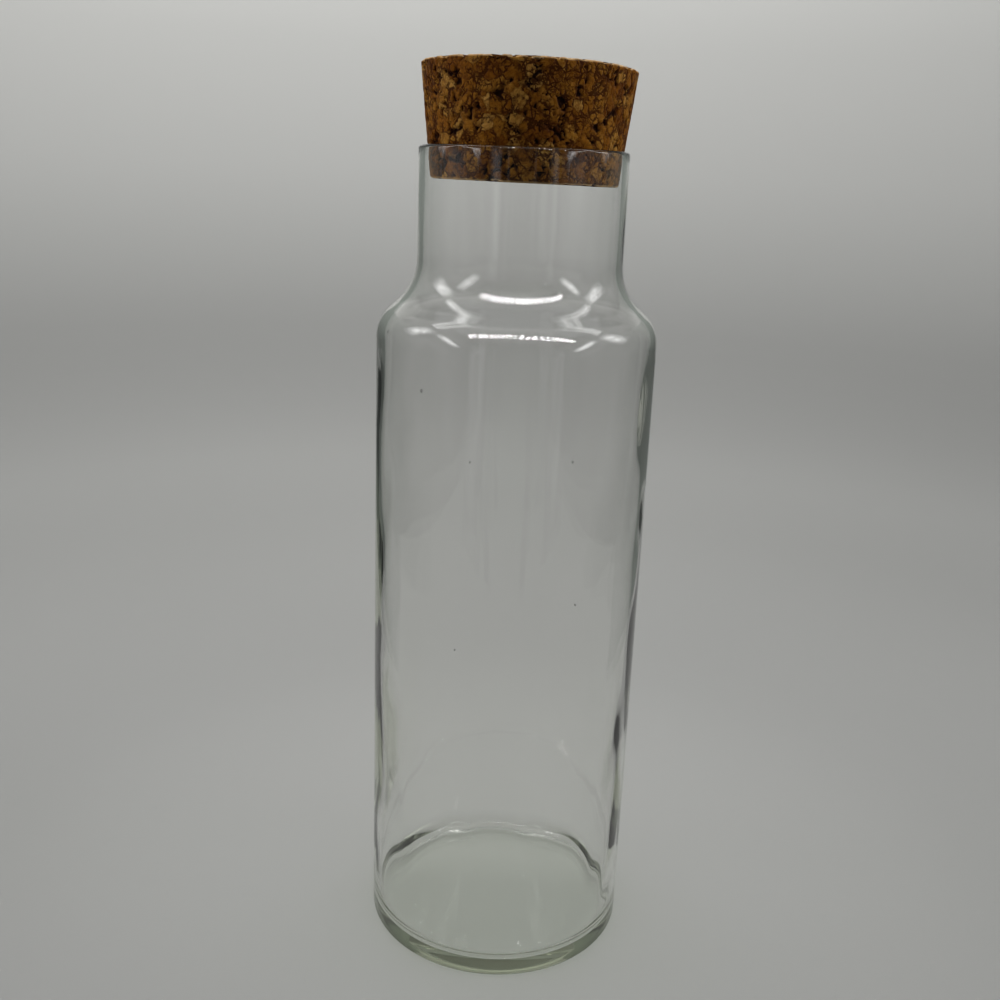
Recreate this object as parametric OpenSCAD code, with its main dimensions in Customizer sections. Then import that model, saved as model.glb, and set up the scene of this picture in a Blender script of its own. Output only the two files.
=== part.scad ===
// Tall glass canister with a tapered cork stopper as its lid.
// The canister stands on z = 0, and its axis is the Z axis. Millimetres.

/* [Glass body] */
// Outer diameter of the straight body
body_d = 103; // [99:0.5:130]
// Height of the glass from the table to the rim
glass_h = 306; // [280:1:360]
// Height where the straight wall ends and the shoulder starts
wall_h = 239.5; // [120:0.5:250]
// Thickness of the body's wall
wall_t = 2.6; // [2:0.1:4]

/* [Shoulder and neck] */
// Outer diameter of the neck
neck_d = 74.5; // [60:0.5:78]
// Thickness of the neck's wall, which the rim is rounded to
neck_t = 2.4; // [2:0.1:3.5]
// Outer radius of the shoulder's convex corner
corner_r = 14; // [6:0.5:15]
// Outer radius of the flare from the shoulder into the neck
flare_r = 20; // [8:0.5:21]
// Slope of the shoulder between the two curves, measured from the vertical
slope_a = 48; // [45:1:49]

/* [Base] */
// Thickness of the floor
floor_t = 4.5; // [4:0.5:9]
// Outer radius of the heel
heel_r = 2.5; // [2:0.5:6]
// Inner radius between the wall and the floor
floor_r = 7; // [2:0.5:10]
// Width of the flat ring that the canister stands on
ring_w = 4; // [2:0.5:8]
// Height of the push-up at the centre of the base
push_up = 2; // [0.5:0.1:3]

/* [Stopper] */
// Height of the stopper
cork_h = 38.5; // [30:0.5:60]
// Depth of the stopper inside the neck
seat_depth = 11.5; // [6:0.5:24]
// Taper of the stopper's side, measured from the vertical
taper_a = 6.5; // [2:0.1:8]
// Gap between the stopper and the narrowest part of the bore
fit_gap = 0.3; // [0.2:0.05:0.6]
// Radius of the stopper's worn top edge
top_edge_r = 1.2; // [0.4:0.1:3]
// Radius of the stopper's bottom edge
bottom_edge_r = 0.8; // [0.4:0.1:3]

/* [Hidden] */
$fn = 128;

// Number of straight steps in one curve of an outline
arc_steps = 12;

body_r = body_d / 2;
neck_r = neck_d / 2;
rim_r = neck_t / 2;
bore_r = neck_r - neck_t;
bore_top_z = glass_h - rim_r;
ring_in_r = body_r - heel_r - ring_w;

cork_bottom_z = glass_h - seat_depth;
cork_top_z = cork_bottom_z + cork_h;

// Radius of the stopper's side at height z: it clears the top of the bore by fit_gap
function cork_r(z) = bore_r - fit_gap + (z - bore_top_z) * tan(taper_a);

// Points of an arc about [cx, cz] from angle a0 to angle a1, 0 degrees being outward
function arc(cx, cz, r, a0, a1) =
    [for (i = [0 : arc_steps]) let (a = a0 + (a1 - a0) * i / arc_steps)
        [cx + r * cos(a), cz + r * sin(a)]];

// An ogee from the radius r_low at height z, over a convex corner of radius rc,
// down a straight slope and up a flare of radius rf, to the radius r_high
function ogee(r_low, r_high, rc, rf, z) =
    let (turned = (rc + rf) * (1 - cos(slope_a)),
         slope_len = (r_low - r_high - turned) / sin(slope_a),
         flare_z = z + (rc + rf) * sin(slope_a) + slope_len * cos(slope_a))
    concat(arc(r_low - rc, z, rc, 0, slope_a),
           arc(r_high + rf, flare_z, rf, 180 + slope_a, 180));

// A shallow dome of height rise over the radius r, starting at height z,
// from its edge to the axis
function dome(r, z, rise) =
    let (dome_r = (r * r + rise * rise) / (2 * rise),
         half_a = asin(r / dome_r))
    arc(0, z + rise - dome_r, dome_r, 90 - half_a, 90);

// The glass, as one closed wall: outside from the foot to the rim, inside back to the floor
module glass_outline()
    polygon(concat(
        arc(body_r - heel_r, heel_r, heel_r, -90, 0),
        ogee(body_r, neck_r, corner_r, flare_r, wall_h),
        arc(neck_r - rim_r, bore_top_z, rim_r, 0, 180),
        reverse(ogee(body_r - wall_t, bore_r, corner_r - wall_t, flare_r + neck_t, wall_h)),
        reverse(arc(body_r - wall_t - floor_r, floor_t + floor_r, floor_r, -90, 0)),
        dome(body_r - wall_t - floor_r, floor_t, push_up),
        reverse(dome(ring_in_r, 0, push_up))));

function reverse(points) = [for (i = [len(points) - 1 : -1 : 0]) points[i]];

// Half of the stopper's section, with its two edges rounded
module cork_outline() {
    bottom_z = cork_bottom_z + bottom_edge_r;
    top_z = cork_top_z - top_edge_r;
    polygon(concat(
        [[0, cork_bottom_z]],
        arc(cork_r(bottom_z) - bottom_edge_r, bottom_z, bottom_edge_r, -90, -taper_a),
        arc(cork_r(top_z) - top_edge_r, top_z, top_edge_r, -taper_a, 90),
        [[0, cork_top_z]]));
}

module glass_body()
    color([0.80, 0.85, 0.81, 0.45])
        rotate_extrude() glass_outline();

module cork_stopper()
    color([0.55, 0.37, 0.18])
        rotate_extrude() cork_outline();

glass_body();
cork_stopper();
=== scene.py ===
import math

import bmesh
import bpy
import numpy as np
from mathutils import Matrix, Vector, noise


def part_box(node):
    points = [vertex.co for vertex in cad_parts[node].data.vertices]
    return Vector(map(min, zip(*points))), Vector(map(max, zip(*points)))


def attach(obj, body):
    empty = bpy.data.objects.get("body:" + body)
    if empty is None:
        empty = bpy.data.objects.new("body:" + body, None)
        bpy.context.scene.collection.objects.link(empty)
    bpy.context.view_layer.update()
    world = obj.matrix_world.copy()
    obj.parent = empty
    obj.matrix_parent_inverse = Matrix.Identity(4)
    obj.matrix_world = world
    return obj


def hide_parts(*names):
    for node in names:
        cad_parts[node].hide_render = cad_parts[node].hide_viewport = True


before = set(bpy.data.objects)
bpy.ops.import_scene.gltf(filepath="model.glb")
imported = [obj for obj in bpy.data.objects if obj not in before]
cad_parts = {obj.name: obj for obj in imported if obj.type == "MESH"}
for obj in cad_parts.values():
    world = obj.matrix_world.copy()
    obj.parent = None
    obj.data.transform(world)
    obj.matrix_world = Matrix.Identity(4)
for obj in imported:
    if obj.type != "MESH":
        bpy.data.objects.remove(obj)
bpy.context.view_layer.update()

MM = 0.001

# ---------------------------------------------------------------- sizes
# The outer sizes are read from the CAD parts. The rest are the CAD model's own, in metres.
GLASS_LOW, GLASS_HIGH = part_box("glass_body")
CORK_LOW, CORK_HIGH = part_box("cork_stopper")
BODY_R = GLASS_HIGH.x
GLASS_TOP = GLASS_HIGH.z
WALL_TOP = 239.5 * MM
WALL_T = 2.6 * MM
NECK_R = 37.25 * MM
NECK_T = 2.4 * MM
CORNER_R = 14 * MM
FLARE_R = 20 * MM
SLOPE = 48
HEEL_R = 2.5 * MM
RING_W = 4 * MM
PUSH_UP = 2 * MM
FLOOR_T = 4.5 * MM
FLOOR_R = 7 * MM
RIM_R = NECK_T / 2
BORE_R = NECK_R - NECK_T
RING_IN_R = BODY_R - HEEL_R - RING_W
CORK_TAPER = math.tan(math.radians(6.5))
CORK_TOP_R = CORK_HIGH.x
CORK_EDGE_R = 1.0 * MM


# ---------------------------------------------------------------- mesh helpers
def arc(centre_r, centre_z, radius, start, end, steps):
    """Points of an arc in the half plane (r, z), angles in degrees, 0 pointing away from the axis."""
    angles = np.radians(np.linspace(start, end, steps + 1))
    return np.column_stack((centre_r + radius * np.cos(angles), centre_z + radius * np.sin(angles)))


def ogee(low_r, high_r, corner_r, flare_r, z, steps=18):
    """The shoulder's curve from radius low_r at height z to radius high_r."""
    slope = math.radians(SLOPE)
    turned = (corner_r + flare_r) * (1 - math.cos(slope))
    slope_len = (low_r - high_r - turned) / math.sin(slope)
    flare_z = z + (corner_r + flare_r) * math.sin(slope) + slope_len * math.cos(slope)
    return np.vstack((arc(low_r - corner_r, z, corner_r, 0, SLOPE, steps),
                      arc(high_r + flare_r, flare_z, flare_r, 180 + SLOPE, 180, steps)))


def dome(radius, z, rise, steps=14):
    """A shallow dome from its edge to the axis."""
    dome_r = (radius ** 2 + rise ** 2) / (2 * rise)
    half = math.degrees(math.asin(radius / dome_r))
    points = arc(0, z + rise - dome_r, dome_r, 90 - half, 90, steps)
    points[-1, 0] = 0
    return points


def filled_in(points, step):
    """The same outline with points added along its long straight stretches."""
    out = [points[:1]]
    for a, b in zip(points[:-1], points[1:]):
        pieces = max(1, round(float(np.linalg.norm(b - a)) / step))
        out.append(a + (b - a) * (np.arange(1, pieces + 1) / pieces)[:, None])
    return np.vstack(out)


def new_object(name, verts, faces, smooth=True):
    """A mesh object from arrays of points and faces."""
    mesh = bpy.data.meshes.new(name)
    mesh.from_pydata([tuple(v) for v in verts], [], [tuple(f) for f in faces])
    mesh.validate()
    mesh.polygons.foreach_set("use_smooth", [smooth] * len(mesh.polygons))
    mesh.update()
    piece = bpy.data.objects.new(name, mesh)
    bpy.context.scene.collection.objects.link(piece)
    return piece


def lathe(outline, turns):
    """Points and faces of an outline turned about Z. A point on the axis closes the shape."""
    angles = np.arange(turns) * 2 * math.pi / turns
    verts, rings = [], []
    for r, z in outline:
        start = len(verts)
        if r < 1e-7:
            verts.append((0.0, 0.0, z))
            rings.append([start] * turns)
        else:
            verts.extend((r * math.cos(a), r * math.sin(a), z) for a in angles)
            rings.append(list(range(start, start + turns)))
    faces = []
    for low, high in zip(rings[:-1], rings[1:]):
        for i in range(turns):
            j = (i + 1) % turns
            face = dict.fromkeys((low[i], low[j], high[j], high[i]))
            faces.append(tuple(face))
    return np.array(verts), faces


def waves(points, size, seed):
    """Smooth noise from -1 to 1 at each point, with bumps about one size across."""
    shift = Vector((seed * 7.3, seed * 3.1, seed * 5.7))
    return np.array([noise.noise(Vector(p) / size + shift) for p in points])


# ---------------------------------------------------------------- glass
def glass_outline():
    """The closed wall: under the base, up the outside, over the rim and down the inside."""
    return filled_in(np.vstack((
        dome(RING_IN_R, 0, PUSH_UP)[::-1],
        arc(BODY_R - HEEL_R, HEEL_R, HEEL_R, -90, 0, 10),
        ogee(BODY_R, NECK_R, CORNER_R, FLARE_R, WALL_TOP),
        arc(NECK_R - RIM_R, GLASS_TOP - RIM_R, RIM_R, 0, 180, 14),
        ogee(BODY_R - WALL_T, BORE_R, CORNER_R - WALL_T, FLARE_R + NECK_T, WALL_TOP)[::-1],
        arc(BODY_R - WALL_T - FLOOR_R, FLOOR_T + FLOOR_R, FLOOR_R, -90, 0, 10)[::-1],
        dome(BODY_R - WALL_T - FLOOR_R, FLOOR_T, PUSH_UP),
    )), GLASS_STEP)


# Points around the glass, and the longest step between rings along its outline
GLASS_TURNS, GLASS_STEP = 288, 3.4 * MM
# Depth of the slow upright waves that blowing leaves in the glass, inside and out
INNER_WAVE, OUTER_WAVE = 0.42 * MM, 0.06 * MM
UPRIGHT = np.array([1, 1, 0.4])
# Share of the inner waves left on the shoulder and neck, and the height over which it falls to that
SHOULDER_WAVE, SHOULDER_BLEND = 0.4, 20 * MM
# The wall is true near the rim and the floor, and the waves grow over this height from there
TRUE_RIM, CALM_BLEND = 2 * MM, 14 * MM
# Places where the wall is thicker inside. Angle in degrees from the front, height, depth in mm,
# spread in degrees, and reach upwards and downwards.
LUMPS = ((-109, 0.056, 4.2, 26, 0.045, 0.012), (-112, 0.036, 1.4, 24, 0.020, 0.012),
         (-112, 0.155, 1.2, 22, 0.070, 0.070), (112, 0.050, 2.2, 25, 0.045, 0.020),
         (112, 0.130, 0.9, 24, 0.070, 0.060), (176, 0.060, 0.8, 40, 0.030, 0.020))
# Small bubbles in the wall: angle in degrees from the front, height, radius in mm
SEEDS = ((-38, 0.226, 0.45), (-62, 0.243, 0.4), (-70, 0.232, 0.4), (24, 0.205, 0.35), (140, 0.12, 0.4),
         (200, 0.18, 0.35), (95, 0.07, 0.4), (-20, 0.135, 0.3))


def lump_depth(verts):
    """How far the lumps push the inside of the wall inwards at each point."""
    around = np.degrees(np.arctan2(verts[:, 0], -verts[:, 1]))
    depth = np.zeros(len(verts))
    for angle, z, deep, spread, up, down in LUMPS:
        aside = (around - angle + 180) % 360 - 180
        above = verts[:, 2] - z
        reach = np.where(above > 0, up, down)
        depth += deep * MM * np.exp(-(aside / spread) ** 2 - (above / reach) ** 2)
    return depth


def make_glass():
    outline = glass_outline()
    verts, faces = lathe(outline, GLASS_TURNS)
    radius = np.hypot(verts[:, 0], verts[:, 1])
    inner = (radius < BODY_R - 0.5 * WALL_T) & (verts[:, 2] > FLOOR_T + FLOOR_R * 0.5)
    inner &= ~((verts[:, 2] > WALL_TOP) & (radius > shoulder_middle(verts[:, 2])))
    calm = np.clip((GLASS_TOP - TRUE_RIM - verts[:, 2]) / CALM_BLEND, 0, 1)
    calm *= np.clip((verts[:, 2] - FLOOR_T - FLOOR_R) / CALM_BLEND, 0, 1)
    ripple = waves(verts * UPRIGHT, 26 * MM, 1) + 0.5 * waves(verts * UPRIGHT, 11 * MM, 2)
    on_shoulder = np.clip((verts[:, 2] - WALL_TOP + SHOULDER_BLEND) / SHOULDER_BLEND, 0, 1)
    ripple *= 1 - (1 - SHOULDER_WAVE) * on_shoulder
    depth = np.where(inner, -INNER_WAVE * ripple - lump_depth(verts),
                     OUTER_WAVE * waves(verts * UPRIGHT, 24 * MM, 3)) * calm
    outward = verts[:, :2] / np.maximum(radius, 1e-6)[:, None]
    verts[:, :2] += outward * depth[:, None]
    glass = new_object("canister_glass", verts, faces)
    add_seeds(glass)
    glass.data.materials.append(glass_material())
    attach(glass, "canister")
    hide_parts("glass_body")


def shoulder_middle(z):
    """Radius of the middle of the wall at height z, on the shoulder and neck."""
    outer = ogee(BODY_R, NECK_R, CORNER_R, FLARE_R, WALL_TOP)
    return np.interp(z, outer[:, 1], outer[:, 0]) - 0.5 * NECK_T


def add_seeds(glass):
    """Air bubbles: closed shells inside the wall, facing inwards."""
    bm = bmesh.new()
    bm.from_mesh(glass.data)
    for angle, z, size in SEEDS:
        a = math.radians(angle)
        r = BODY_R - 0.5 * WALL_T
        if z > WALL_TOP:
            r = float(shoulder_middle(np.array([z]))[0])
        place = Matrix.Translation((r * math.sin(a), -r * math.cos(a), z))
        shape = Matrix.Diagonal((size * MM, size * MM, size * 1.5 * MM, 1))
        made = bmesh.ops.create_icosphere(bm, subdivisions=2, radius=1, matrix=place @ shape)
        new_faces = {f for v in made["verts"] for f in v.link_faces}
        bmesh.ops.reverse_faces(bm, faces=list(new_faces))
        for f in new_faces:
            f.smooth = True
    bm.to_mesh(glass.data)
    bm.free()


# ---------------------------------------------------------------- cork
CORK_GRID = 140              # quads across the stopper's round faces
CORK_RINGS = 88              # rings up its side
GRANULE = 4.6 * MM           # size of a large granule
CRUMB = 2.0 * MM             # size of the small ones packed between them
SQUEEZED_R = 34.0 * MM       # radius of the part that the neck has squeezed
SEAM_DEPTH, PIT_DEPTH, CHIP_DEPTH = 0.22 * MM, 1.0 * MM, 1.3 * MM
CORK_SHIFT, CORK_TILT = 0.5 * MM, math.radians(0.7)   # how far aside and how crooked it sits


def cork_side():
    """Outline of the stopper's side, from the lower face's edge to the upper face's edge."""
    top_z, low_z = CORK_HIGH.z, CORK_LOW.z
    edge = CORK_EDGE_R
    z = np.linspace(low_z + edge, top_z - edge, CORK_RINGS)
    r = CORK_TOP_R - (top_z - z) * CORK_TAPER
    free = np.clip((z - GLASS_TOP + 1.5 * MM) / (2 * MM), 0, 1)
    r = r * free + np.minimum(r, SQUEEZED_R) * (1 - free)
    side = np.column_stack((r, z))
    low = arc(side[0, 0] - edge, low_z + edge, edge, -90, 0, 3)
    top = arc(side[-1, 0] - edge, top_z - edge, edge, 0, 90, 3)
    return np.vstack((low[:-1], side, top[1:]))


def disc_grid(radius, z, count):
    """Points of a square grid bent into a disc, with its outer ring evenly spaced."""
    line = np.linspace(-1, 1, count + 1)
    x, y = np.meshgrid(line, line, indexing="ij")
    wide = np.abs(x) > np.abs(y)
    r = np.where(wide, x, y)
    with np.errstate(divide="ignore", invalid="ignore"):
        turn = np.where(wide, math.pi / 4 * y / x, math.pi / 2 - math.pi / 4 * x / y)
    turn = np.where(r == 0, 0, turn)
    return np.dstack((radius * r * np.cos(turn), radius * r * np.sin(turn), np.full_like(x, z)))


def cork_shape():
    """The stopper's smooth shape: points, outward directions and faces."""
    side = cork_side()
    turns = 4 * CORK_GRID
    verts, faces = lathe(side, turns)
    slope = np.gradient(side, axis=0)
    out_r, out_z = slope[:, 1], -slope[:, 0]
    angles = np.arange(turns) * 2 * math.pi / turns
    outward = [(r * math.cos(a), r * math.sin(a), z) for r, z in zip(out_r, out_z) for a in angles]
    verts = list(verts)
    for ring, up in ((0, -1), (len(side) - 1, 1)):
        grid = disc_grid(side[ring, 0], side[ring, 1], CORK_GRID)
        number = np.empty(grid.shape[:2], int)
        for i in range(CORK_GRID + 1):
            for j in range(CORK_GRID + 1):
                point = grid[i, j]
                if i in (0, CORK_GRID) or j in (0, CORK_GRID):
                    step = round(math.atan2(point[1], point[0]) / (2 * math.pi / turns))
                    number[i, j] = ring * turns + step % turns
                else:
                    number[i, j] = len(verts)
                    verts.append(point)
                    outward.append((0, 0, up))
        for i in range(CORK_GRID):
            for j in range(CORK_GRID):
                face = (number[i, j], number[i + 1, j], number[i + 1, j + 1], number[i, j + 1])
                faces.append(face if up > 0 else face[::-1])
    outward = np.array(outward, float)
    outward /= np.linalg.norm(outward, axis=1)[:, None]
    return np.array(verts), outward, faces


def cells(points, size, seed):
    """Voronoi cells of one size. For each point: two random numbers of its cell, and how much further
    away the second and the third nearest cell centres are."""
    random = np.random.RandomState(seed)
    table = random.rand(40, 40, 40, 6)
    where = points / size
    home = np.floor(where).astype(int)
    near = np.full((len(points), 3), 1e9)
    own = np.zeros((len(points), 2))
    for step in np.ndindex(3, 3, 3):
        cell = home + np.array(step) - 1
        row = table[tuple((cell % 40).T)]
        gap = np.linalg.norm(cell + 0.1 + 0.8 * row[:, :3] - where, axis=1) * (0.8 + 0.45 * row[:, 3])
        closer = gap < near[:, 0]
        own[closer] = row[closer][:, 4:]
        near = np.sort(np.column_stack((near, gap)), axis=1)[:, :3]
    return own[:, 0], own[:, 1], (near[:, 1] - near[:, 0]) * size, (near[:, 2] - near[:, 0]) * size


def bent(points, amount, size, seed):
    """The points, shifted by smooth noise so that cell borders wander."""
    return points + amount * np.column_stack([waves(points, size, seed + k) for k in range(3)])


def make_cork():
    points, outward, faces = cork_shape()
    tone, turn, gap, corner = cells(bent(points, 1.5 * MM, 4.5 * MM, 11), GRANULE, 5)
    small_tone, _, small_gap, small_corner = cells(bent(points, 0.7 * MM, 2 * MM, 21), CRUMB, 6)
    broken = turn < 0.3
    tone = np.where(broken, 0.4 * tone + 0.6 * small_tone, tone)
    gap = np.where(broken, np.minimum(gap, small_gap * 1.3), gap)
    corner = np.where(broken, np.minimum(corner, small_corner * 1.6), corner)

    loose = 0.5 + 0.8 * waves(points, 6 * MM, 31) + 0.5 * waves(points, 2.4 * MM, 32)
    parted = np.clip((loose - 0.55) / 0.4, 0, 1)
    seam = np.exp(-(gap / ((0.42 + 0.5 * parted) * MM)) ** 2) * np.clip(0.15 + 0.5 * loose + parted, 0, 1)
    pit = np.clip(1.1 - corner / ((0.3 + 1.1 * parted) * MM), 0, 1) * (parted > 0.02)
    edge_gap = np.minimum(CORK_HIGH.z - points[:, 2], points[:, 2] - CORK_LOW.z)
    rim = np.exp(-np.maximum(edge_gap, 0) / (1.0 * MM)) * (np.abs(outward[:, 2]) < 0.999)
    chips = rim * np.clip(waves(points, 2.4 * MM, 41) + 0.6 * (tone - 0.4), 0, 1)

    depth = SEAM_DEPTH * seam + PIT_DEPTH * pit + CHIP_DEPTH * chips
    depth += 0.12 * MM * (tone - 0.5) + 0.07 * MM * waves(points, 1.3 * MM, 51)
    points -= outward * depth[:, None]

    cork = new_object("stopper_cork", points, faces)
    for name, values in (("seam", seam), ("pit", pit), ("rim", rim)):
        layer = cork.data.attributes.new(name, "FLOAT", "POINT")
        layer.data.foreach_set("value", values.astype(np.float32))
    middle = Vector((0, 0, GLASS_TOP))
    cork.data.transform(Matrix.Translation(middle + Vector((CORK_SHIFT, 0, 0)))
                        @ Matrix.Rotation(CORK_TILT, 4, "Y") @ Matrix.Translation(-middle))
    cork.data.materials.append(cork_material())
    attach(cork, "stopper")
    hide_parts("cork_stopper")


# ---------------------------------------------------------------- materials
class Nodes:
    """A material's node tree, with a short way to add and join nodes."""

    def __init__(self, name):
        self.material = bpy.data.materials.new(name)
        self.material.use_nodes = True
        self.tree = self.material.node_tree
        self.tree.nodes.clear()
        self.output = self.add("ShaderNodeOutputMaterial")

    def add(self, kind, inputs=None, **settings):
        node = self.tree.nodes.new(kind)
        for key, value in settings.items():
            setattr(node, key, value)
        for key, value in (inputs or {}).items():
            if isinstance(value, bpy.types.NodeSocket):
                self.tree.links.new(value, node.inputs[key])
            else:
                node.inputs[key].default_value = value
        return node

    def maths(self, operation, a, b=0.0, clamp=False):
        return self.add("ShaderNodeMath", {0: a, 1: b}, operation=operation, use_clamp=clamp).outputs[0]

    def attribute(self, name):
        return self.add("ShaderNodeAttribute", attribute_name=name).outputs["Fac"]

    def ramp(self, value, stops, mode="LINEAR"):
        node = self.add("ShaderNodeValToRGB", {0: value})
        node.color_ramp.interpolation = mode
        while len(node.color_ramp.elements) < len(stops):
            node.color_ramp.elements.new(0.5)
        for element, (place, colour) in zip(node.color_ramp.elements, stops):
            element.position = place
            element.color = (*colour, 1) if isinstance(colour, tuple) else (colour, colour, colour, 1)
        return node.outputs[0]

    def mix(self, share, a, b, blend="MIX"):
        node = self.add("ShaderNodeMix", data_type="RGBA", blend_type=blend)
        for key, value in ((0, share), (6, a), (7, b)):
            if isinstance(value, bpy.types.NodeSocket):
                self.tree.links.new(value, node.inputs[key])
            else:
                node.inputs[key].default_value = value if key == 0 else (*value, 1)
        return node.outputs[2]

    def surface(self, shader):
        self.tree.links.new(shader, self.output.inputs["Surface"])
        return self.material


GLASS_TINT, GLASS_DEPTH = (0.50, 0.56, 0.36, 1), 14.0     # colour and density of its absorption
GLASS_SHADOW = (0.965, 0.975, 0.965, 1)                   # what one wall lets through


def glass_material():
    """Clear soda glass, faintly green where it is thick, with a trace of dried film."""
    n = Nodes("clear_glass")
    place = n.add("ShaderNodeTexCoord").outputs["Object"]
    film = n.add("ShaderNodeTexNoise", {"Vector": place, "Scale": 38.0, "Detail": 4.0, "Roughness": 0.6})
    rough = n.ramp(film.outputs[0], ((0.45, 0.0), (0.75, 0.035)))
    body = n.add("ShaderNodeBsdfPrincipled", {
        "Base Color": (1.0, 1.0, 1.0, 1), "Roughness": rough, "IOR": 1.5, "Transmission Weight": 1.0})
    clear = n.add("ShaderNodeBsdfTransparent", {"Color": GLASS_SHADOW})
    path = n.add("ShaderNodeLightPath")
    soft = n.add("ShaderNodeMixShader", {0: path.outputs["Is Diffuse Ray"], 1: body.outputs[0],
                                         2: clear.outputs[0]})
    both = n.add("ShaderNodeMixShader", {0: path.outputs["Is Shadow Ray"], 1: soft.outputs[0],
                                         2: clear.outputs[0]})
    inside = n.add("ShaderNodeVolumeAbsorption", {"Color": GLASS_TINT, "Density": GLASS_DEPTH})
    n.tree.links.new(inside.outputs[0], n.output.inputs["Volume"])
    return n.surface(both.outputs[0])


# The cork's colours, as linear red, green and blue
GRANULE_TONES = ((0.0, (0.080, 0.0265, 0.0022)), (0.45, (0.112, 0.0430, 0.0042)),
                 (0.8, (0.142, 0.0620, 0.0080)), (1.0, (0.190, 0.0980, 0.0210)))
FIBRE_TINT, DARK_TINT, PALE_TINT = (0.62, 0.54, 0.46), (0.66, 0.58, 0.50), (1.45, 1.65, 2.3)
CRACK_COLOUR, SEAM_COLOUR = (0.014, 0.0030, 0.0003), (0.016, 0.0036, 0.0004)
# The pale tan at the stopper's edges is partly worn crumbs and partly a painted highlight
RIM_WEAR_AND_HIGHLIGHT, PIT_COLOUR = (0.50, 0.33, 0.16), (0.005, 0.0012, 0.0003)
# Pattern sizes, as cells or bumps per metre
GRANULES, CRACKLES, SCRATCHES = 215.0, 360.0, 800.0


def cork_material():
    """Agglomerated cork: granules of many browns, each with its own grain, thin dark cracks and pits."""
    n = Nodes("agglomerated_cork")
    place = n.add("ShaderNodeTexCoord").outputs["Object"]
    seam, pit, rim = (n.attribute(name) for name in ("seam", "pit", "rim"))

    def noise_at(vector, scale, detail, rough=0.6):
        return n.add("ShaderNodeTexNoise", {"Vector": vector, "Scale": scale, "Detail": detail,
                                            "Roughness": rough})

    def shifted(source, scale, amount):
        """Coordinates moved about by noise, so that cell borders come out ragged."""
        nudge = n.add("ShaderNodeVectorMath", {0: noise_at(source, scale, 3.0).outputs["Color"],
                                               1: (amount, amount, amount)}, operation="MULTIPLY")
        return n.add("ShaderNodeVectorMath", {0: source, 1: nudge.outputs[0]}, operation="ADD").outputs[0]

    def cell_line(vector, scale, width):
        """A thin line along the borders of cells, 1 on the line."""
        edge = n.add("ShaderNodeTexVoronoi", {"Vector": vector, "Scale": scale},
                     feature="DISTANCE_TO_EDGE")
        return n.ramp(edge.outputs["Distance"], ((0.35 * width, 1.0), (width, 0.0)))

    ragged = shifted(place, 330.0, 0.0042)
    granule = n.add("ShaderNodeTexVoronoi", {"Vector": ragged, "Scale": GRANULES}).outputs["Color"]
    own = n.add("ShaderNodeSeparateXYZ", {0: granule}).outputs
    border = cell_line(ragged, GRANULES, 0.11)
    fine = shifted(place, 900.0, 0.0015)
    crackle = cell_line(fine, CRACKLES, 0.13)
    scratch = cell_line(fine, SCRATCHES, 0.20)
    here = n.ramp(noise_at(place, 260.0, 3.0).outputs[0], ((0.42, 0.0), (0.56, 1.0)))
    there = n.ramp(noise_at(place, 410.0, 2.0).outputs[0], ((0.54, 0.0), (0.62, 1.0)))
    cracks = n.maths("MAXIMUM", n.maths("MULTIPLY", border, n.maths("ADD", here, 0.35, clamp=True)),
                     n.maths("MULTIPLY", crackle, here))
    cracks = n.maths("MAXIMUM", cracks, n.maths("MULTIPLY", n.maths("MULTIPLY", scratch, there), 0.8))

    turned = n.add("ShaderNodeVectorRotate", {
        "Vector": place, "Axis": (0.6, 0.5, 0.62), "Angle": n.maths("MULTIPLY", own[1], 6.28)},
        rotation_type="AXIS_ANGLE")
    stretched = n.add("ShaderNodeVectorMath", {0: turned.outputs[0], 1: (2600.0, 420.0, 700.0)},
                      operation="MULTIPLY")
    fibre = noise_at(stretched.outputs[0], 1.0, 3.0).outputs[0]
    blotch = noise_at(place, 520.0, 5.0, 0.7).outputs[0]

    base = n.ramp(own[0], GRANULE_TONES)
    base = n.mix(n.ramp(fibre, ((0.3, 0.9), (0.6, 0.0))), base, FIBRE_TINT, "MULTIPLY")
    base = n.mix(n.ramp(blotch, ((0.36, 1.0), (0.46, 0.0))), base, DARK_TINT, "MULTIPLY")
    base = n.mix(n.ramp(blotch, ((0.52, 0.0), (0.70, 1.0))), base, PALE_TINT, "MULTIPLY")
    base = n.mix(n.maths("MULTIPLY", cracks, 0.92), base, CRACK_COLOUR)
    # Paler edges: partly worn crumbs, partly a painted highlight of the lit rim
    base = n.mix(n.ramp(rim, ((0.5, 0.0), (0.95, 0.75))), base, RIM_WEAR_AND_HIGHLIGHT)
    base = n.mix(n.ramp(seam, ((0.4, 0.0), (0.9, 0.5))), base, SEAM_COLOUR)
    base = n.mix(n.ramp(pit, ((0.3, 0.0), (0.6, 1.0))), base, PIT_COLOUR)

    height = n.maths("SUBTRACT", n.maths("ADD", n.maths("MULTIPLY", fibre, 0.35), blotch), cracks)
    bump = n.add("ShaderNodeBump", {"Height": height, "Strength": 0.7, "Distance": 0.0003})
    body = n.add("ShaderNodeBsdfPrincipled", {
        "Base Color": base, "Roughness": n.ramp(blotch, ((0.3, 0.6), (0.7, 0.8))),
        "Specular IOR Level": 0.06, "Normal": bump.outputs[0]})
    return n.surface(body.outputs[0])


# ---------------------------------------------------------------- studio
ROOM_R = 1.0                 # radius of the round pale room
ROOM_FOLD = 0.45             # radius of the curve between its floor and its wall
ROOM_H = 1.1
FLOOR_Z = -0.4 * MM
ROOM_COLOUR = (0.80, 0.80, 0.775)
ROOM_STEP, ROOM_TURNS = 0.04, 128
WALL_START, WALL_BLEND = 0.02, 0.12      # where the floor's shade gives way to the wall's
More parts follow.
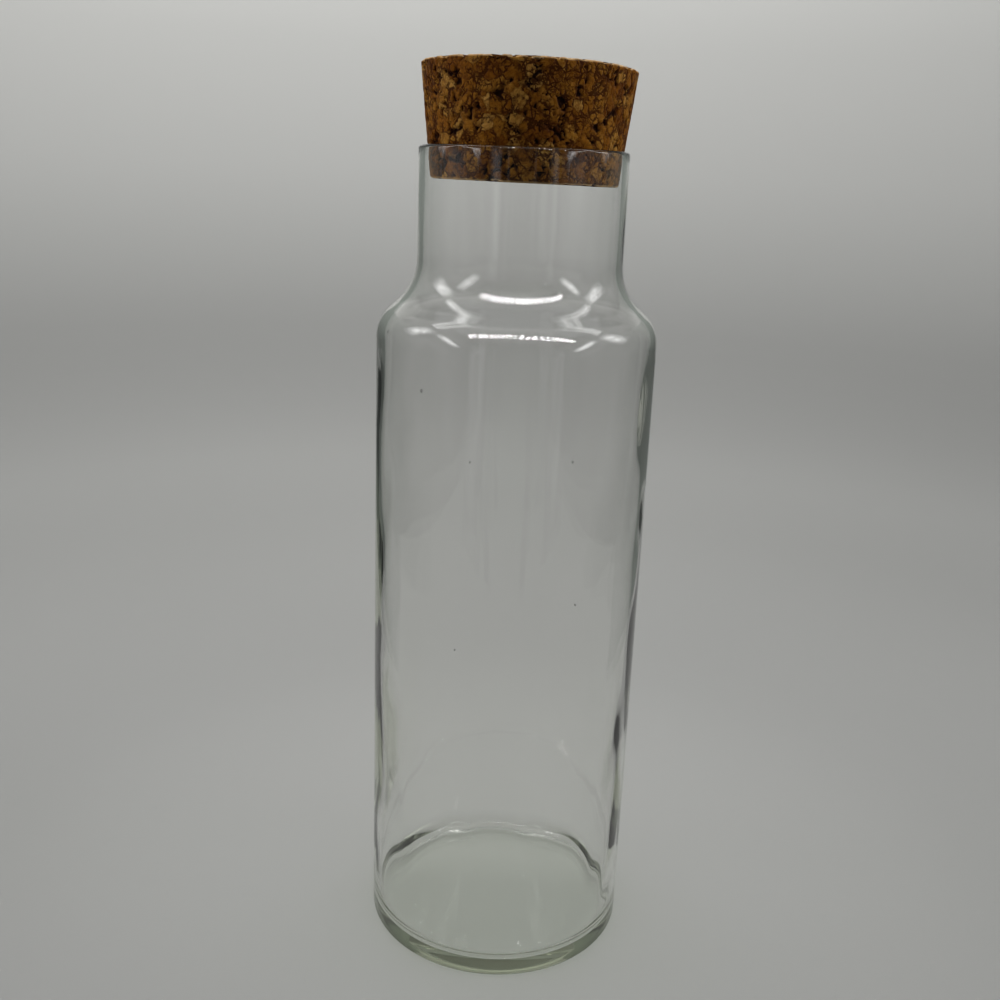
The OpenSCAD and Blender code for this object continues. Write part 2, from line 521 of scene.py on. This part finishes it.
# How pale the room is painted, as painted light and shade: by distance from the middle on the floor, a
# painted pool of light, and by height on the wall
FLOOR_PAINTED_LIGHT = ((0.0, 0.25, 0.4, 0.6), (0.53, 0.43, 0.43, 0.42))
WALL_PAINTED_LIGHT = ((0.05, 0.3, 0.42, 0.55, 0.75), (0.47, 0.94, 1.1, 1.25, 0.4))
# Painted light and shade around the room: the walls at the sides are painted paler, as if lit, than those
# behind and in front, by degrees from the front
AROUND_PAINTED_LIGHT = ((40, 70, 100, 135), (0.42, 0.9, 0.9, 0.55))


def room_material():
    n = Nodes("pale_room")
    # The room's pale colour, darkened by its painted light and shade
    painted_light = n.ramp(n.attribute("painted_light"), ((0.0, 0.0), (1.0, ROOM_COLOUR)))
    return n.surface(n.add("ShaderNodeBsdfPrincipled", {
        "Base Color": painted_light, "Roughness": 0.8, "Specular IOR Level": 0.2}).outputs[0])


def make_room():
    fold = arc(ROOM_R - ROOM_FOLD, ROOM_FOLD, ROOM_FOLD, -90, 0, 24)
    outline = np.vstack(([[0, 0]], fold, [[ROOM_R, ROOM_H]]))
    verts, faces = lathe(filled_in(outline, ROOM_STEP), ROOM_TURNS)
    # Painted light and shade for each point: the floor's painted pool of light, then the wall's by height
    # and by angle
    around = np.degrees(np.arctan2(np.abs(verts[:, 0]), -verts[:, 1]))
    wall = np.clip((verts[:, 2] - WALL_START) / WALL_BLEND, 0, 1)
    wall_painted_light = np.minimum(np.interp(verts[:, 2], *WALL_PAINTED_LIGHT) * np.interp(around, *AROUND_PAINTED_LIGHT), 1)
    painted_light = np.interp(np.hypot(verts[:, 0], verts[:, 1]), *FLOOR_PAINTED_LIGHT) * (1 - wall) + wall_painted_light * wall
    verts[:, 2] += FLOOR_Z
    room = new_object("room", verts, [f[::-1] for f in faces])
    layer = room.data.attributes.new("painted_light", "FLOAT", "POINT")
    layer.data.foreach_set("value", painted_light.astype(np.float32))
    room.data.materials.append(room_material())


def lamp(name, place, aim, size, power, spread):
    """A rectangular soft light at place, facing aim, which glass doesn't mirror."""
    light = bpy.data.lights.new(name, "AREA")
    light.shape = "RECTANGLE"
    light.size, light.size_y = size
    light.energy = power
    light.spread = math.radians(spread)
    rig = bpy.data.objects.new(name, light)
    rig.location = place
    rig.rotation_euler = (Vector(aim) - Vector(place)).to_track_quat("-Z", "Y").to_euler()
    rig.visible_camera = rig.visible_glossy = rig.visible_transmission = False
    bpy.context.scene.collection.objects.link(rig)


def mirrored_only(n, colour, strength):
    """Light that shows in reflections, and is clear where it is seen straight through the glass."""
    reflections = n.add("ShaderNodeLightPath").outputs["Glossy Depth"]
    clear = n.add("ShaderNodeBsdfTransparent")
    light = n.add("ShaderNodeEmission", {"Color": colour, "Strength": strength})
    both = n.add("ShaderNodeMixShader", {0: n.maths("MINIMUM", reflections, 1.0), 1: clear.outputs[0],
                                         2: light.outputs[0]})
    surface = n.surface(both.outputs[0])
    surface.cycles.emission_sampling = "NONE"
    return surface


def glow_material(name, strength, soft):
    """A bright card's material. A soft one is patchy and fades towards its edges."""
    n = Nodes(name)
    if soft:
        place = n.add("ShaderNodeTexCoord").outputs["Object"]
        axes = n.add("ShaderNodeSeparateXYZ", {0: place}).outputs
        squares = [n.maths("POWER", n.maths("ABSOLUTE", axes[k]), 2.0) for k in (0, 1)]
        fades = [n.maths("SUBTRACT", 1.0, square) for square in squares]
        cloud = n.add("ShaderNodeTexNoise", {"Vector": place, "Scale": 2.2, "Detail": 4.0,
                                             "Roughness": 0.6})
        patchy = n.ramp(cloud.outputs[0], ((0.36, 0.25), (0.62, 1.0)))
        strength = n.maths("MULTIPLY", patchy, strength * 1.5)
        strength = n.maths("MULTIPLY", n.maths("MULTIPLY", fades[0], fades[1]), strength)
    return mirrored_only(n, (1, 1, 1, 1), strength)


def card(name, verts, faces, material):
    """A surface that shows only in the glass. It lights nothing and casts no shadow."""
    piece = new_object(name, verts, faces, smooth=False)
    piece.data.materials.append(material)
    piece.visible_camera = piece.visible_diffuse = piece.visible_shadow = False
    return piece


SQUARE = ((-1, -1, 0), (1, -1, 0), (1, 1, 0), (-1, 1, 0))
# Bright patches at each side, as in a white tent: place at the right side, direction, turn in its own
# plane, size, strength
GLOWS = (("wall_glow", (0.27, -0.19, 0.370), (-1, 0, 0), -30, (0.21, 0.06), 6.0),
         ("wall_patch", (0.27, -0.01, 0.385), (-1, 0, 0), -30, (0.09, 0.16), 4.5),
         ("wall_soft", (0.28, -0.08, 0.34), (-1, 0, 0), 0, (0.6, 0.5), 0.25),
         ("top_line", (0.26, -0.01, 0.50), (0, 0, -1), 0, (0.40, 0.06), 4.5))
# Upright bright strips behind the camera: place across, width, strength
STREAK_Y, STREAK_MIDDLE, STREAK_HEIGHT = -0.46, 0.24, 0.56
STREAKS = ((-0.26, 0.16, 0.40), (0.31, 0.16, 0.36), (-0.13, 0.03, 0.16), (0.10, 0.03, 0.14))
# Two rows of small lamps above the front: sizes are half across and half deep
LED_COUNT, LED_GAP, LED_ROW_GAP, LED_SIZE = 20, 24 * MM, 20 * MM, (6.5 * MM, 4.5 * MM)
LED_PLACE, LED_STRENGTH = (0.035, -0.22, 0.50), 60.0
# Dim upright cards, a painted reflection of the shade in front and at the sides, which the edges of the
# glass mirror: shade by height
FRONT_X, FRONT_Y, FRONT_H = 0.5, -0.55, 0.62
FRONT_SHADE = ((0.0, 0.22), (0.25, 0.03), (0.6, 0.02))
SIDE_X, SIDE_Y, SIDE_H = 0.28, (0.02, 0.6), 0.4
SIDE_SHADE = ((0.0, 0.14), (0.15, 0.08), (0.28, 0.20), (0.4, 0.27))


def glow(name, place, facing, roll, size, strength):
    """A soft bright rectangle at place, facing one way and rolled in its own plane."""
    piece = card(name, SQUARE, [(0, 1, 2, 3)], glow_material(name, strength, True))
    way = Vector(facing)
    across = Vector((0, 1, 0)) if facing[0] else Vector((1, 0, 0))
    turn = Matrix((across, way.cross(across), way)).transposed().to_4x4()
    piece.matrix_world = (Matrix.Translation(place) @ turn @ Matrix.Rotation(math.radians(roll), 4, "Z")
                          @ Matrix.Diagonal((size[0] / 2, size[1] / 2, 1, 1)))


def dark_material(name, stops):
    """A dim surface whose shade changes with height, painted shade that only reflections show: pairs of
    height in metres and shade.
    """
    n = Nodes(name)
    up = n.add("ShaderNodeSeparateXYZ", {0: n.add("ShaderNodeTexCoord").outputs["Object"]}).outputs[2]
    painted_light = n.ramp(up, [(height, (0.92 * pale, pale, 0.92 * pale)) for height, pale in stops])
    return mirrored_only(n, painted_light, 1.0)


def upright(start, end, height):
    """Corners of an upright rectangle that stands between two points of the floor."""
    return [(*start, 0), (*end, 0), (*end, height), (*start, height)]


def make_reflections():
    for side in (-1, 1):
        for name, place, facing, roll, size, strength in GLOWS:
            glow(f"{name}_{side}", (place[0] * side, place[1], place[2]), (facing[0] * side, *facing[1:]),
                 roll * side, size, strength)
    for i, (x, width, strength) in enumerate(STREAKS):
        glow(f"streak_{i}", (x, STREAK_Y, STREAK_MIDDLE), (0, 1, 0), 0, (width, STREAK_HEIGHT), strength)
    make_led_strip()
    card("dark_front", upright((-FRONT_X, FRONT_Y), (FRONT_X, FRONT_Y), FRONT_H), [(0, 1, 2, 3)],
         dark_material("dark_front", FRONT_SHADE))
    for side in (-1, 1):
        name = f"dark_side_{side}"
        corners = upright((side * SIDE_X, SIDE_Y[0]), (side * SIDE_X, SIDE_Y[1]), SIDE_H)
        card(name, corners, [(0, 1, 2, 3)], dark_material(name, SIDE_SHADE))


def make_led_strip():
    verts, faces = [], []
    for row in (-0.5, 0.5):
        for i in range(LED_COUNT):
            x = LED_PLACE[0] + (i - (LED_COUNT - 1) / 2) * LED_GAP
            y = LED_PLACE[1] + row * LED_ROW_GAP
            faces.append(tuple(range(len(verts), len(verts) + 4)))
            verts.extend((x + u * LED_SIZE[0], y + v * LED_SIZE[1], LED_PLACE[2]) for u, v, _ in SQUARE)
    card("led_strip", verts, faces, glow_material("led", LED_STRENGTH, False))


# Soft lights: name, place, aim, size, power in watts, spread in degrees
LAMPS = (("overhead", (0, 0.05, 0.95), (0, 0.02, 0), (0.5, 0.5), 3.3, 180),
         ("strip", (0, -0.25, 0.52), (0, 0, 0.2), (0.48, 0.04), 0.45, 180),
         ("wall_wash", (-0.12, 0.40, 0.95), (-0.12, 1.0, 0.40), (1.0, 0.4), 6.5, 180),
         ("side_left", (-0.55, -0.05, 0.36), (0, 0, 0.30), (0.3, 0.3), 0.4, 50),
         ("side_right", (0.55, -0.05, 0.36), (0, 0, 0.30), (0.3, 0.3), 0.4, 50))
SKY_COLOUR, SKY_STRENGTH = (0.96, 0.98, 1.0, 1), 0.36


def make_lights():
    for settings in LAMPS:
        lamp(*settings)


def make_world():
    world = bpy.data.worlds.new("studio")
    world.use_nodes = True
    sky = world.node_tree.nodes["Background"]
    sky.inputs["Color"].default_value = SKY_COLOUR
    sky.inputs["Strength"].default_value = SKY_STRENGTH
    bpy.context.scene.world = world


# ---------------------------------------------------------------- camera
CAMERA_PLACE = Vector((0, -0.401, 0.2952))
CAMERA_PITCH, CAMERA_YAW, CAMERA_ROLL = 16.43, -0.54, -2.22   # degrees
CAMERA_LENS = 39.04                                           # mm, on a sensor 36 mm wide


def make_camera():
    data = bpy.data.cameras.new("camera")
    data.sensor_width, data.lens = 36, CAMERA_LENS
    data.clip_start = 0.01
    camera = bpy.data.objects.new("camera", data)
    turn = (Matrix.Rotation(math.radians(-CAMERA_YAW), 4, "Z")
            @ Matrix.Rotation(math.radians(90 - CAMERA_PITCH), 4, "X")
            @ Matrix.Rotation(math.radians(-CAMERA_ROLL), 4, "Z"))
    camera.matrix_world = Matrix.Translation(CAMERA_PLACE) @ turn
    bpy.context.scene.collection.objects.link(camera)
    bpy.context.scene.camera = camera


def set_look():
    scene = bpy.context.scene
    scene.view_settings.view_transform = "Standard"
    scene.cycles.caustics_reflective = False
    scene.cycles.caustics_refractive = False
    scene.cycles.glossy_bounces = scene.cycles.transmission_bounces = scene.cycles.max_bounces = 20
    scene.cycles.sample_clamp_indirect = 60


make_camera()
make_world()
make_room()
make_lights()
make_reflections()
make_glass()
make_cork()
set_look()
